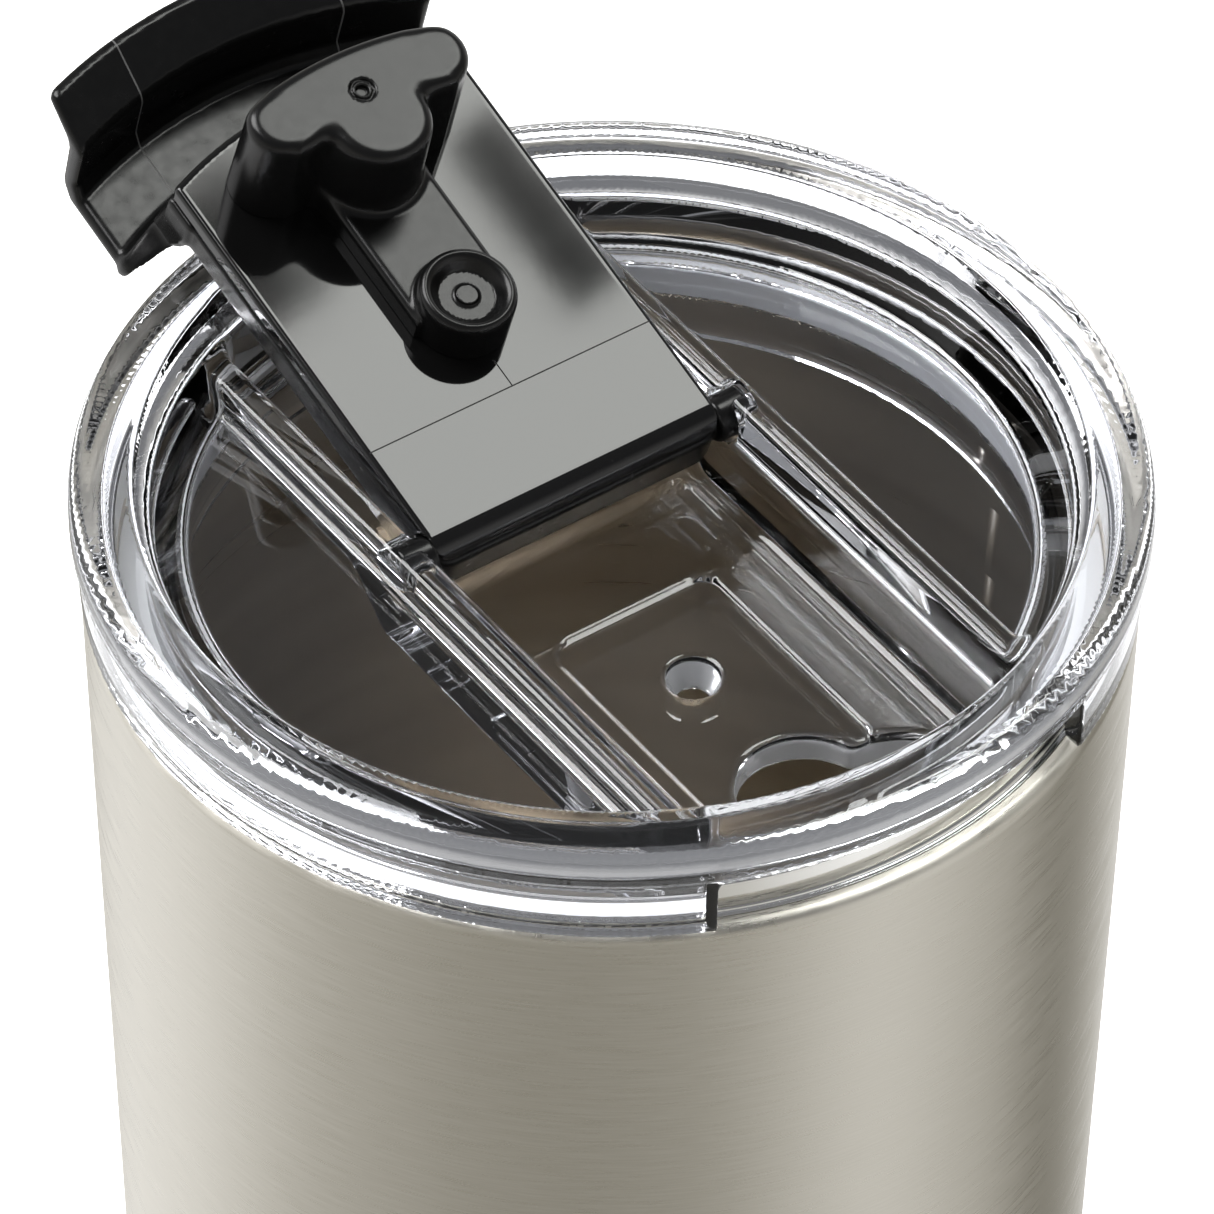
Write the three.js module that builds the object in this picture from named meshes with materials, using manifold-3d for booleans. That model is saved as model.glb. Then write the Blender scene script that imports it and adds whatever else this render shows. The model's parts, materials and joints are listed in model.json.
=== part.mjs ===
// Insulated tumbler with a clear press-in lid and a black flip cover, shown with the cover open.
// Millimetres, +Z up, origin at the centre of the base, drinking side towards -Y.
import * as THREE from 'three';
import { mergeVertices } from 'three/addons/utils/BufferGeometryUtils.js';
import Module from 'manifold-3d';

const wasm = await Module();
wasm.setup();

// ---- driving dimensions ----
const GAP = 0.3;                  // clearance between pieces that meet

// steel body
const STEEL_TOP = 170;            // height of the steel lip
const BODY_R = 42.7;              // outside radius at the lip
const TAPER = 0.023;              // radius lost per millimetre down the upper body
const BEND_Z = 75;                // below this height the body draws in faster
const BEND_RATE = 0.00064;        // extra draw-in per square millimetre
const SHELL_WALL = 0.8;
const LINER_INSET = 2.9;          // outside of the body to the inside of the cup
const LINER_WALL = 0.7;
const CUP_FLOOR = 10;             // height of the cup's inner bottom
const SHELL_BOTTOM = 0.3;
const BASE_R = 33.2;              // opening in the bottom of the shell
const SHELL_LIP = 1.6;            // width of the shell's rolled top edge
const LIP_R = BODY_R - LINER_INSET;
const NECK_R = 40.5;              // outside of the neck that stands above the shell
const NECK_RISE = 3;
const BASE_CUP_R = 29;            // flat middle of the shell's base
const BASE_CUP_Z = 3;
const BASE_WALL = 1;
const BASE_LEDGE = 1.3;
const SEAL_HOLE_R = 2.3;
const GETTER_R = 5;
const SEAL_R = 2;

// lid, in heights measured from the widest circle of its rim
const RIM_RISE = 8.4;             // from the steel lip up to that circle
const RIM_Z = STEEL_TOP + RIM_RISE;
const RIM_R = 43.4;
const RIM_TOP = 1.4;
const SKIRT_BOTTOM = GAP - RIM_RISE;
const DECK_TOP = -4.8;            // floor of the crescent pockets
const DECK_WALL = 2.6;
const POCKET_R = 34.2;
const PLUG_R = 37.5;              // wall that reaches down into the cup
const PLUG_WALL = 2.2;
const PLUG_BOTTOM = -17.4;
const GROOVE_R = 36.7;
const GROOVE_LOW = -13.4;
const GROOVE_HIGH = -10.2;
const GASKET_R = 39.3;            // tips of the gasket's two lips
const GASKET_BODY_R = 38.2;
const SLOT_R = NECK_R + GAP;      // the skirt stands outside the neck
const SLOT_TOP = -2.4;            // roof of the ring slot above the neck
const RIB_REACH = 36.6;           // the ribs end inside the rim

// channel across the lid
const CHANNEL_X = 15;             // half width between the ribs
const RIB_X = 17.9;               // outer face of the ribs
const TROUGH_X = 16.7;            // outer face of the channel below the deck
const RIB_TOP = -2.5;
const FLOOR_FRONT = -12.2;
const FLOOR_REAR = -7.5;
const FLOOR_WALL = 3.2;
const STEP_FRONT = 8;             // the floor steps up between these two places
const STEP_REAR = 13;
const VENT_Y = -11.4;
const VENT_R = 2.1;
const LOBE_X = 7.2;               // lobes of the drinking hole
const LOBE_Y = -29.8;
const MIDDLE_Y = -26.6;

// grip notch in the front of the skirt
const NOTCH_X = 17.5;
const NOTCH_TOP = -3;
const NOTCH_R = 40;

// flip cover, in heights measured from its hinge axis with the cover closed
const HINGE_Y = 5.6;
const HINGE_Z = -4.9;             // from the widest circle of the rim
const OPEN_DEG = 162.3;           // from closed to resting on the rear rim
const COVER_X = 14.3;
const COVER_TOP = 3.3;
const COVER_SIDE = 2.5;           // the top slopes down to this height at the sides
const COVER_UNDER = -2;
const PARTING = -0.4;             // top of the underside panel
const COVER_TAIL = 1.6;           // reach behind the hinge axis
const CORNER_R = 2.2;             // corners beside the hinge, seen from above
const COVER_R = 35.6;             // front end, about the lid's axis
const TRUNNION_R = 1.9;
const TRUNNION_END = 16.9;
const BORE_END = 17.2;
const TAB_X = 17.5;

// soft stopper
const STOPPER_X = 4.6;            // half width of the strip
const STRIP_DEPTH = 2.3;
const DRINK_DEPTH = 9.7;
const PLUG_BACK = 0.4;            // set back in its hole, so that it swings clear of the front edge
const VENT_DEPTH = 4.3;
const VENT_PLUG_R = 4.1;
const VENT_DISH_R = 3;

const ROUND = 60;                 // facets around the large rings
const SMALL = 24;                 // facets around the small ones

// ---- materials ----
function material(color, roughness, metalness, opacity = 1) {
  return new THREE.MeshStandardMaterial({ color, roughness, metalness, opacity, transparent: opacity < 1 });
}

// ---- solids ----
// A geometry as a solid: shared corners merged and zero-area triangles dropped.
function solid(geometry) {
  const bare = geometry.clone();
  bare.deleteAttribute('normal');
  bare.deleteAttribute('uv');
  const merged = mergeVertices(bare, 1e-4);
  const corners = merged.index.array;
  const triangles = [];
  for (let i = 0; i < corners.length; i += 3) {
    const [a, b, c] = [corners[i], corners[i + 1], corners[i + 2]];
    if (a !== b && b !== c && c !== a) triangles.push(a, b, c);
  }
  return new wasm.Manifold(new wasm.Mesh({
    numProp: 3,
    vertProperties: new Float32Array(merged.attributes.position.array),
    triVerts: new Uint32Array(triangles),
  }));
}

function geometryOf(piece) {
  const mesh = piece.getMesh();
  const geometry = new THREE.BufferGeometry();
  geometry.setAttribute('position', new THREE.BufferAttribute(new Float32Array(mesh.vertProperties), 3));
  geometry.setIndex(new THREE.BufferAttribute(new Uint32Array(mesh.triVerts), 1));
  return geometry;
}

// A profile of [radius, height] pairs turned about +Z, outside going up.
function turned(profile, facets = ROUND) {
  const points = profile.map(([radius, height]) => new THREE.Vector2(radius, height));
  return solid(new THREE.LatheGeometry(points, facets).rotateX(Math.PI / 2));
}

// The same for a ring: the profile closes on itself.
function ring(profile, facets = ROUND) {
  return turned([...profile, profile[0]], facets);
}

// A plan outline raised from low to high.
function raised(shape, low, high) {
  const geometry = new THREE.ExtrudeGeometry(shape, { depth: high - low, bevelEnabled: false, curveSegments: 6 });
  return solid(geometry.translate(0, 0, low));
}

// A side outline in [y, z] pairs, spread from -x to +x.
function spread(outline, x) {
  const shape = new THREE.Shape(outline.map(([y, z]) => new THREE.Vector2(y, z)));
  const geometry = new THREE.ExtrudeGeometry(shape, { depth: 2 * x, bevelEnabled: false });
  const [right, back, up] = [new THREE.Vector3(1, 0, 0), new THREE.Vector3(0, 1, 0), new THREE.Vector3(0, 0, 1)];
  geometry.applyMatrix4(new THREE.Matrix4().makeBasis(back, up, right));
  return solid(geometry.translate(-x, 0, 0));
}

// A front outline in [x, z] pairs, spread from y0 to y1.
function facing(outline, y0, y1) {
  const shape = new THREE.Shape(outline.map(([x, z]) => new THREE.Vector2(x, z)));
  const geometry = new THREE.ExtrudeGeometry(shape, { depth: y1 - y0, bevelEnabled: false });
  return solid(geometry.rotateX(Math.PI / 2).translate(0, y1, 0));
}

function block(x, yMin, yMax, zMin, zMax) {
  return spread([[yMin, zMin], [yMax, zMin], [yMax, zMax], [yMin, zMax]], x);
}

// A round bar along X, from x0 to x1.
function barX(radius, x0, x1) {
  const geometry = new THREE.CylinderGeometry(radius, radius, x1 - x0, SMALL);
  return solid(geometry.rotateZ(Math.PI / 2).translate((x0 + x1) / 2, 0, 0));
}

function barZ(radius, y, low, high, facets = SMALL) {
  const geometry = new THREE.CylinderGeometry(radius, radius, high - low, facets);
  return solid(geometry.rotateX(Math.PI / 2).translate(0, y, (low + high) / 2));
}

function part(name, piece, look) {
  const mesh = new THREE.Mesh(geometryOf(piece), look);
  mesh.name = name;
  return mesh;
}

// ---- steel body ----
function bodyRadius(z) {
  const below = Math.max(0, BEND_Z - z);
  return BODY_R - TAPER * (STEEL_TOP - z) - BEND_RATE * below * below;
}

function wallLine(heights, inset) {
  return heights.map((z) => [bodyRadius(z) - inset, z]);
}

function outerShell() {
  const heights = [4, 20, 38, 56, BEND_Z, 120, STEEL_TOP - 1.6];
  return ring([
    [BASE_R, SHELL_BOTTOM],
    [BASE_R + 1, SHELL_BOTTOM],
    ...wallLine(heights, 0),
    [BODY_R - 0.3, STEEL_TOP - 0.5],
    [BODY_R - 0.9, STEEL_TOP],
    [BODY_R - SHELL_LIP, STEEL_TOP],
    [BODY_R - SHELL_LIP, STEEL_TOP - 0.8],
    ...wallLine(heights, SHELL_WALL).reverse(),
  ]);
}

function innerLiner() {
  const heights = [20, 38, 56, BEND_Z, 120, STEEL_TOP - 1.2];
  const cornerR = bodyRadius(20) - LINER_INSET;
  const flangeR = BODY_R - SHELL_LIP - GAP;
  return turned([
    [0, CUP_FLOOR - LINER_WALL],
    [cornerR - 7, CUP_FLOOR - LINER_WALL],
    [cornerR - 1.6, CUP_FLOOR + 3],
    ...wallLine(heights, LINER_INSET - LINER_WALL),
    [flangeR, STEEL_TOP - 0.8],
    [flangeR, STEEL_TOP],
    [NECK_R, STEEL_TOP],
    [NECK_R, STEEL_TOP + NECK_RISE],
    [LIP_R, STEEL_TOP + NECK_RISE],
    ...wallLine(heights, LINER_INSET).reverse(),
    [cornerR - 2.2, CUP_FLOOR + 3.4],
    [cornerR - 7.2, CUP_FLOOR],
    [0, CUP_FLOOR],
  ]);
}

function shellBase() {
  const edge = BASE_R - GAP;
  const [low, ledge] = [BASE_CUP_Z, BASE_LEDGE];
  return ring([
    [SEAL_HOLE_R, low],
    [BASE_CUP_R, low],
    [BASE_CUP_R + 1.5, ledge],
    [edge, ledge],
    [edge, ledge + BASE_WALL],
    [BASE_CUP_R + 2.1, ledge + BASE_WALL],
    [BASE_CUP_R + 0.6, low + BASE_WALL],
    [SEAL_HOLE_R, low + BASE_WALL],
  ]);
}

function baseCap() {
  const edge = BASE_R - GAP;
  return turned([[0, 0], [edge - 0.6, 0], [edge, 0.5], [edge, BASE_LEDGE - GAP], [0, BASE_LEDGE - GAP]]);
}

// ---- lid ----
function smoothStep(t) {
  return t * t * (3 - 2 * t);
}

// Channel floor from front to rear, with the rounded step up below the hinge.
function floorLine(offset) {
  const steps = [0, 0.2, 0.4, 0.6, 0.8, 1];
  const rise = steps.map((t) => [
    STEP_FRONT + t * (STEP_REAR - STEP_FRONT),
    FLOOR_FRONT + smoothStep(t) * (FLOOR_REAR - FLOOR_FRONT) + offset,
  ]);
  return [[-RIM_R, FLOOR_FRONT + offset], ...rise, [RIM_R, FLOOR_REAR + offset]];
}

function channelSpace() {
  const tall = RIM_TOP + 5;
  const sides = spread([...floorLine(0), [RIM_R, tall], [-RIM_R, tall]], CHANNEL_X);
  const ends = turned([
    [0, FLOOR_FRONT - 1], [34.9, FLOOR_FRONT - 1], [34.9, FLOOR_FRONT], [35, -9.5], [36.2, -7],
    [36.9, -1.5], [38.2, 1.5], [38.2, tall], [0, tall],
  ]);
  return sides.intersect(ends);
}

// Three-lobed outline shared by the drinking hole and its plug, with one even arc at the front.
function cloud(frontR, lobeR, middleR, low, high) {
  const band = block(LOBE_X, -frontR, LOBE_Y + 0.85 * lobeR, low, high);
  const middle = barZ(middleR, MIDDLE_Y, low, high, 2 * SMALL);
  const lobes = [-1, 1].map((side) => barZ(lobeR, LOBE_Y, low, high).translate([LOBE_X * side, 0, 0]));
  return lobes.reduce((sum, lobe) => sum.add(lobe), band.add(middle))
    .intersect(barZ(frontR, 0, low, high, 2 * ROUND));
}

function lidBody() {
  const shape = turned([
    [0, DECK_TOP - DECK_WALL],
    [PLUG_R - PLUG_WALL, DECK_TOP - DECK_WALL],
    [PLUG_R - PLUG_WALL, PLUG_BOTTOM],
    [PLUG_R, PLUG_BOTTOM],
    [PLUG_R, GROOVE_LOW],
    [GROOVE_R, GROOVE_LOW],
    [GROOVE_R, GROOVE_HIGH],
    [PLUG_R, GROOVE_HIGH],
    [PLUG_R, SLOT_TOP],
    [SLOT_R, SLOT_TOP],
    [SLOT_R, SKIRT_BOTTOM],
    [BODY_R + 0.1, SKIRT_BOTTOM],
    [BODY_R + 0.2, -2.6],
    [RIM_R - 0.1, -1.2],
    [RIM_R, 0],
    [RIM_R - 0.5, 1.2],
    [RIM_R - 1.5, RIM_TOP],
    [39.2, RIM_TOP],
    [38.2, 1.1],
    [37, -1.5],
    [POCKET_R, DECK_TOP],
    [0, DECK_TOP],
  ]);
  const within = barZ(RIB_REACH, 0, PLUG_BOTTOM, RIM_TOP, ROUND);
  const ribs = block(RIB_X, -RIM_R, RIM_R, DECK_TOP - DECK_WALL, RIB_TOP);
  const trough = spread([...floorLine(-FLOOR_WALL), [RIM_R, -6], [-RIM_R, -6]], TROUGH_X);
  const notch = ring([
    [NOTCH_R, SKIRT_BOTTOM - 1], [RIM_R + 1, SKIRT_BOTTOM - 1], [RIM_R + 1, NOTCH_TOP], [NOTCH_R, NOTCH_TOP],
  ]).intersect(block(NOTCH_X, -RIM_R - 1, 0, SKIRT_BOTTOM - 1, NOTCH_TOP));
  const bores = barX(TRUNNION_R + 0.25, -BORE_END, BORE_END).translate([0, HINGE_Y, HINGE_Z]);
  return shape.add(ribs.add(trough).intersect(within))
    .subtract(channelSpace())
    .subtract(bores)
    .subtract(notch)
    .subtract(barZ(VENT_R, VENT_Y, PLUG_BOTTOM, FLOOR_FRONT + 1))
    .subtract(cloud(34.95, 4.1, 5.5, PLUG_BOTTOM, FLOOR_FRONT + 0.5));
}

function lidGasket() {
  const inner = GROOVE_R + GAP;
  return ring([
    [inner, GROOVE_LOW + GAP],
    [GASKET_BODY_R, GROOVE_LOW + GAP],
    [GASKET_R, GROOVE_LOW + 0.9],
    [GASKET_R, GROOVE_LOW + 1.2],
    [GASKET_BODY_R, GROOVE_LOW + 1.4],
    [GASKET_R, GROOVE_HIGH - 1],
    [GASKET_R, GROOVE_HIGH - 0.7],
    [GASKET_BODY_R, GROOVE_HIGH - GAP],
    [inner, GROOVE_HIGH - GAP],
  ]);
}

// ---- flip cover, drawn closed about its hinge axis ----
// Everything inside the front end's circle, which is centred on the lid's axis.
function withinFront(radius, low, high) {
  return barZ(radius, -HINGE_Y, low, high, 2 * ROUND);
}

// The cover from above: a strip whose corners beside the hinge are rounded.
function coverPlan(low, high) {
  const [x, y] = [COVER_X - CORNER_R, COVER_TAIL - CORNER_R];
  const shape = new THREE.Shape();
  shape.moveTo(-COVER_X, -RIM_R);
  shape.lineTo(COVER_X, -RIM_R);
  shape.absarc(x, y, CORNER_R, 0, Math.PI / 2);
  shape.absarc(-x, y, CORNER_R, Math.PI / 2, Math.PI);
  shape.closePath();
  return raised(shape, low, high).intersect(withinFront(COVER_R, low, high));
}

function flipCover() {
  const sides = [
    [-RIM_R, PARTING + GAP], [COVER_TAIL, PARTING + GAP], [COVER_TAIL, COVER_TOP - 1.2],
    [COVER_TAIL - 1.2, COVER_TOP], [-RIM_R, COVER_TOP],
  ];
  const crown = facing([
    [-COVER_X, COVER_UNDER], [COVER_X, COVER_UNDER], [COVER_X, COVER_SIDE], [COVER_X - 2, COVER_TOP],
    [2 - COVER_X, COVER_TOP], [-COVER_X, COVER_SIDE],
  ], -RIM_R, RIM_R);
  const plate = spread(sides, COVER_X).intersect(crown).intersect(coverPlan(COVER_UNDER, COVER_TOP + 1));
  const ends = [-1, 1].map((side) => barX(TRUNNION_R, COVER_X, TRUNNION_END).scale([side, 1, 1]));
  const roots = [-1, 1].map((side) => barX(TRUNNION_R, COVER_X - 1, COVER_X + 1).scale([side, 1, 1])
    .intersect(block(TRUNNION_END, -3, 3, PARTING + GAP, 3)));
  return [...ends, ...roots, thumbTab()].reduce((sum, piece) => sum.add(piece), plate);
}

// The tab hooks over the rim: an inner web, a roof and an outer wall that ends in a flange.
function thumbTab() {
  const parting = HINGE_Z + PARTING + GAP;
  const web = ring([[33, parting], [COVER_R, parting], [36.7, -1], [37.3, 2.3], [37.3, 3.8], [33, -1.9]]);
  const hook = ring([
    [36.4, 2.6], [37.2, 2.3], [43, 2.3], [43.9, 1.3], [44, -3.4], [48.4, -5.2], [49.2, -5.1], [49.3, -4.2],
    [46, -2.4], [45.7, 2.6], [44.4, 3.9], [36.4, 3.9],
  ]);
  const narrow = facing([
    [-COVER_X, -9], [COVER_X, -9], [COVER_X, -0.5], [TAB_X, 2.4], [TAB_X, 9], [-TAB_X, 9], [-TAB_X, 2.4],
    [-COVER_X, -0.5],
  ], -50, 0);
  return web.intersect(narrow)
    .add(hook.intersect(block(TAB_X, -50, 0, -9, 9)))
    .translate([0, -HINGE_Y, -HINGE_Z]);
}

function coverPanel() {
  const sides = [
    [-RIM_R, COVER_UNDER], [-0.8, COVER_UNDER], [0.4, -1.68], [1.04, -1.14], [1.45, PARTING], [-RIM_R, PARTING],
  ];
  const cups = [-1, 1].map((side) => barX(TRUNNION_R + GAP, COVER_X - GAP, COVER_X + 3).scale([side, 1, 1]));
  const plate = spread(sides, COVER_X).intersect(coverPlan(COVER_UNDER - 1, COVER_TOP));
  return cups.reduce((sum, cup) => sum.subtract(cup), plate);
}

function stopper() {
  const foot = COVER_UNDER - GAP;
  const plug = cloud(33.7, 3.2, 4.5, 0, DRINK_DEPTH).translate([0, PLUG_BACK - HINGE_Y, foot - DRINK_DEPTH]);
  const vent = VENT_Y - HINGE_Y;
  const strip = block(STOPPER_X, -27 - HINGE_Y, vent, foot - STRIP_DEPTH, foot);
  const button = barZ(VENT_PLUG_R, vent, foot - VENT_DEPTH, foot);
  const dish = barZ(VENT_DISH_R, vent, foot - VENT_DEPTH - 1, foot - VENT_DEPTH + 0.9);
  return plug.add(strip).add(button).subtract(dish);
}

// ---- assembly ----
const tumbler = new THREE.Group();
const steel = () => material(0xb4b2ab, 0.34, 1);
const black = (roughness) => material(0x0b0b0b, roughness, 0);

tumbler.add(part('outer_shell', outerShell(), steel()));
tumbler.add(part('inner_liner', innerLiner(), material(0xb8b6b0, 0.25, 1)));
tumbler.add(part('shell_base', shellBase(), steel()));
tumbler.add(part('base_cap', baseCap(), steel()));
tumbler.add(part('getter', barZ(GETTER_R, 0, CUP_FLOOR - 2.5, CUP_FLOOR - 1), material(0x8d8c88, 0.6, 0.6)));
tumbler.add(part('vacuum_seal', barZ(SEAL_R, 0, 2.9, 4.1), material(0x6f7276, 0.3, 0)));

const lid = new THREE.Group();
lid.position.z = RIM_Z;
lid.add(part('lid_body', lidBody(), material(0xe9edf2, 0.05, 0, 0.35)));
lid.add(part('lid_gasket', lidGasket(), material(0xdfe2e4, 0.45, 0)));

const flip = new THREE.Group();
flip.position.set(0, HINGE_Y, HINGE_Z);
flip.rotation.x = -THREE.MathUtils.degToRad(OPEN_DEG);
flip.add(part('flip_cover', flipCover(), black(0.2)));
flip.add(part('cover_panel', coverPanel(), black(0.08)));
flip.add(part('stopper', stopper(), black(0.4)));

lid.add(flip);
tumbler.add(lid);

export default tumbler;
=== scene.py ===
"""The looks of an insulated tumbler: brushed steel body, clear lid, black flip cover with its stopper.

Shapes are worked in millimetres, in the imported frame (+Z up, drinking side towards -Y), and turned
into metres when a mesh is made. The moulded pieces are distance fields with rounded joins, turned
into fine meshes; the turned pieces are profiles swept round the axis.
"""
import json
import math

import bpy
import numpy as np
from mathutils import Matrix, Vector


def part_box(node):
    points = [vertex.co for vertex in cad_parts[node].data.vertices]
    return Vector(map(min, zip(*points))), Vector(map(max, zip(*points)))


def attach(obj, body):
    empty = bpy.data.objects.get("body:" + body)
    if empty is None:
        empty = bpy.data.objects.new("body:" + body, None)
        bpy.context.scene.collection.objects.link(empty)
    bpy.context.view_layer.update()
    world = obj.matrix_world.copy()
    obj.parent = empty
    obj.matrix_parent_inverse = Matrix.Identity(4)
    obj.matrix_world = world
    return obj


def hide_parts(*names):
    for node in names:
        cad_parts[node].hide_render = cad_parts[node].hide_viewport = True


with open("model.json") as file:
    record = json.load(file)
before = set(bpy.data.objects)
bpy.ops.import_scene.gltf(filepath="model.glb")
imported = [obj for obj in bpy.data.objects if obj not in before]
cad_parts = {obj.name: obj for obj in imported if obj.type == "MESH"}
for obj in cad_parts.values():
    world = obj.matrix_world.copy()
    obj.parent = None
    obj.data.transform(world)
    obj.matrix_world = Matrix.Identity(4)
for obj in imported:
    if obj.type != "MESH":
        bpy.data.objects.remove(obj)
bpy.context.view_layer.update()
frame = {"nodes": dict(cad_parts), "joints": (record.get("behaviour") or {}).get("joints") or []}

MM = 0.001
JOINTS = {joint["name"]: joint for joint in frame["joints"]}


def box_mm(node):
    low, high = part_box(node)
    return np.array(low) / MM, np.array(high) / MM


# ---- sizes taken from the frame, in millimetres ----
SHELL_HIGH = box_mm("outer_shell")[1]
LID_LOW, LID_HIGH = box_mm("lid_body")
STEEL_TOP = SHELL_HIGH[2]
BODY_R = SHELL_HIGH[0]
RIM_R = LID_HIGH[0]
RIM_TOP = 1.4                                # rim's top above its widest circle
RIM_Z = LID_HIGH[2] - RIM_TOP                # height of the rim's widest circle
PLUG_BOTTOM = LID_LOW[2] - RIM_Z
HINGE = np.array(JOINTS["flip_hinge"]["pos_m"]) / MM
HINGE_Y = HINGE[1]
OPEN = math.radians(JOINTS["flip_hinge"]["range_deg"][1])

# ---- body ----
TAPER = 0.023                                # radius lost to each millimetre down
BEND_Z = 75                                  # the wall draws in faster below this height
BEND_RATE = 0.00064
SHELL_WALL = 0.8
SHELL_LIP = 1.65
FOOT_Z = 0.3
CUP_FLOOR = 10
CUP_WALL = 0.7
LINER_INSET = 2.9                            # from the body's outside to the cup's inside
LIP_R = BODY_R - LINER_INSET
NECK_R = 40.5
NECK_RISE = 3                                # the polished neck above the shell's lip

# ---- lid, in heights from the rim's widest circle ----
SKIRT_BOTTOM = STEEL_TOP - RIM_Z + 0.1
SLOT_TOP = -2.4                              # roof of the ring slot above the neck
DECK_TOP = -4.8
DECK_WALL = 2.6
PLUG_R = 37.5
PLUG_WALL = 2.2
GROOVE_R = 36.7                              # groove for the gasket
GROOVE_LOW = -13.4
GROOVE_HIGH = -10.2
GASKET_R = 39.7
GASKET_BODY_R = 38.2
RIB_TOP = -2.5
RIB_X = 16.7                                 # outer faces of the two ribs
RIB_FLARE = 1.1
RIB_REACH = 36.8
CHANNEL_X = 14.6
CHANNEL_DRAFT = 0.05
FLOOR_FRONT = -12.2
FLOOR_REAR = -7.5
FLOOR_WALL = 3.2
REAR_UNDER = -11.1                           # underside of the floor behind the step
STEP_FRONT = 8
STEP_REAR = 13
PAD_X = 6                                    # the shallow recess round the two holes
PAD_Y = -14
PAD_REACH = 9.6
PAD_CORNER = 2
PAD_DEPTH = 0.35
VENT_Y = -11.4
VENT_R = 1.3                                 # at the floor's underside
VENT_FLARE = 0.36
NOTCH_X = 17.5
NOTCH_TOP = -3
NOTCH_R = 40
LOBE_X = 7.2                                 # lobes of the drinking hole and its plug
LOBE_Y = -29.8
MIDDLE_Y = -26.6
HOLE_FRONT_R = 34.95
HOLE_LOBE_R = 4.1
HOLE_MIDDLE_R = 5.5
FAR = 45                                     # beyond the lid, where an outline is cut off

# ---- cover, drawn closed about its hinge ----
COVER_X = 14.3
COVER_TOP = 3.3
COVER_UNDER = -2
COVER_TAIL = 1.6
COVER_R = 35.6
COVER_CORNER = 2.2
COVER_EDGE = 2.3                             # where the sides end and the round of the top begins
PARTING = -0.4
HEEL_R = 2.4
TRUNNION_R = 1.9
TRUNNION_END = 16.9
BORE_R = TRUNNION_R + 0.25
BORE_END = 17.2
TAB_X = 17.5

# ---- stopper, in depths below the cover's underside ----
PLUG_FRONT_R = 33.9
PLUG_LOBE_R = 3.3
PLUG_MIDDLE_R = 4.7
PLUG_BACK = 0.4                              # how far it is set back from its hole, towards the hinge
PLUG_DEPTH = 9.7
FRONT_DRAFT = 0.03
SIDE_DRAFT = 0.02
STRIP_X = 4.6
STRIP_REACH = 8
STRIP_DEPTH = 2.3
BUTTON_R = 4.1                               # the vent's plug
BUTTON_DEPTH = 4.3
DISH_R = 3.3
DISH_SLOPE = 0.75
DISH_DEPTH = 3.1
STUD_R = 0.9
STUD_DEPTH = 3.4
GATE_Y = -28.9                               # the moulding mark on the plug's end
GATE_R = 0.95
GATE_DOT_R = 0.5


# ---- outlines ----
def rounded(corners, steps=6):
    """Corners (u, v, radius), counter-clockwise and closed, as points with their outward normals."""
    points, normals = [], []
    count = len(corners)
    for i, (u, v, radius) in enumerate(corners):
        here = np.array([u, v], float)
        before = np.array(corners[i - 1][:2], float) - here
        after = np.array(corners[(i + 1) % count][:2], float) - here
        a, b = before / np.hypot(*before), after / np.hypot(*after)
        normal_in, normal_out = np.array([-a[1], a[0]]), np.array([b[1], -b[0]])
        turn = math.acos(np.clip(-a @ b, -1, 1))
        convex = a[0] * b[1] - a[1] * b[0] < 0
        reach = radius * math.tan(turn / 2)
        side = -1 if convex else 1
        for k in range(steps + 1):
            mix = k / steps
            blend = math.sin((1 - mix) * turn) * normal_in + math.sin(mix * turn) * normal_out
            normal = blend / math.sin(turn) if turn > 1e-3 else normal_in
            centre = here + a * reach + side * normal_in * radius
            points.append(centre - side * normal * radius)
            normals.append(normal)
    return np.array(points), np.array(normals)


class Outline:
    """Signed distance to a closed outline, kept as a fine table and read by interpolation."""

    def __init__(self, corners, step=0.05, margin=2.5):
        points = rounded(corners)[0]
        self.low, self.step = points.min(0) - margin, step
        counts = np.ceil((points.max(0) + margin - self.low) / step).astype(int) + 1
        u = self.low[0] + step * np.arange(counts[0])[:, None]
        v = self.low[1] + step * np.arange(counts[1])[None, :]
        nearest = np.full(counts, np.inf)
        inside = np.zeros(counts, bool)
        for p, q in zip(points, np.roll(points, -1, axis=0)):
            edge = q - p
            length = edge @ edge
            if length < 1e-12:
                continue
            along = np.clip(((u - p[0]) * edge[0] + (v - p[1]) * edge[1]) / length, 0, 1)
            away = (u - p[0] - along * edge[0]) ** 2 + (v - p[1] - along * edge[1]) ** 2
            nearest = np.minimum(nearest, away)
            if p[1] != q[1]:
                crosses = ((p[1] > v) != (q[1] > v)) & (u < p[0] + (v - p[1]) * edge[0] / edge[1])
                inside ^= crosses
        self.table = (np.sqrt(nearest) * np.where(inside, -1, 1)).astype(np.float32)

    def __call__(self, u, v):
        size = np.array(self.table.shape) - 1.001
        i = np.clip((u - self.low[0]) / self.step, 0, size[0])
        j = np.clip((v - self.low[1]) / self.step, 0, size[1])
        i0, j0 = i.astype(np.int32), j.astype(np.int32)
        s, t = i - i0, j - j0
        near = self.table[i0, j0] * (1 - s) + self.table[i0 + 1, j0] * s
        far = self.table[i0, j0 + 1] * (1 - s) + self.table[i0 + 1, j0 + 1] * s
        return near * (1 - t) + far * t


# ---- distance fields ----
def join(a, b, radius):
    """Union whose inside corner is rounded."""
    h = np.maximum(radius - np.abs(a - b), 0)
    return np.minimum(a, b) - h * h / (4 * radius)


def common(a, b, radius):
    """Intersection whose edge is rounded."""
    return -join(-a, -b, radius)


def cut(a, b, radius):
    return common(a, -b, radius)


def disc(x, y, cx, cy, radius):
    return np.hypot(x - cx, y - cy) - radius


def smooth_step(t):
    t = np.clip(t, 0, 1)
    return t * t * (3 - 2 * t)


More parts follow.
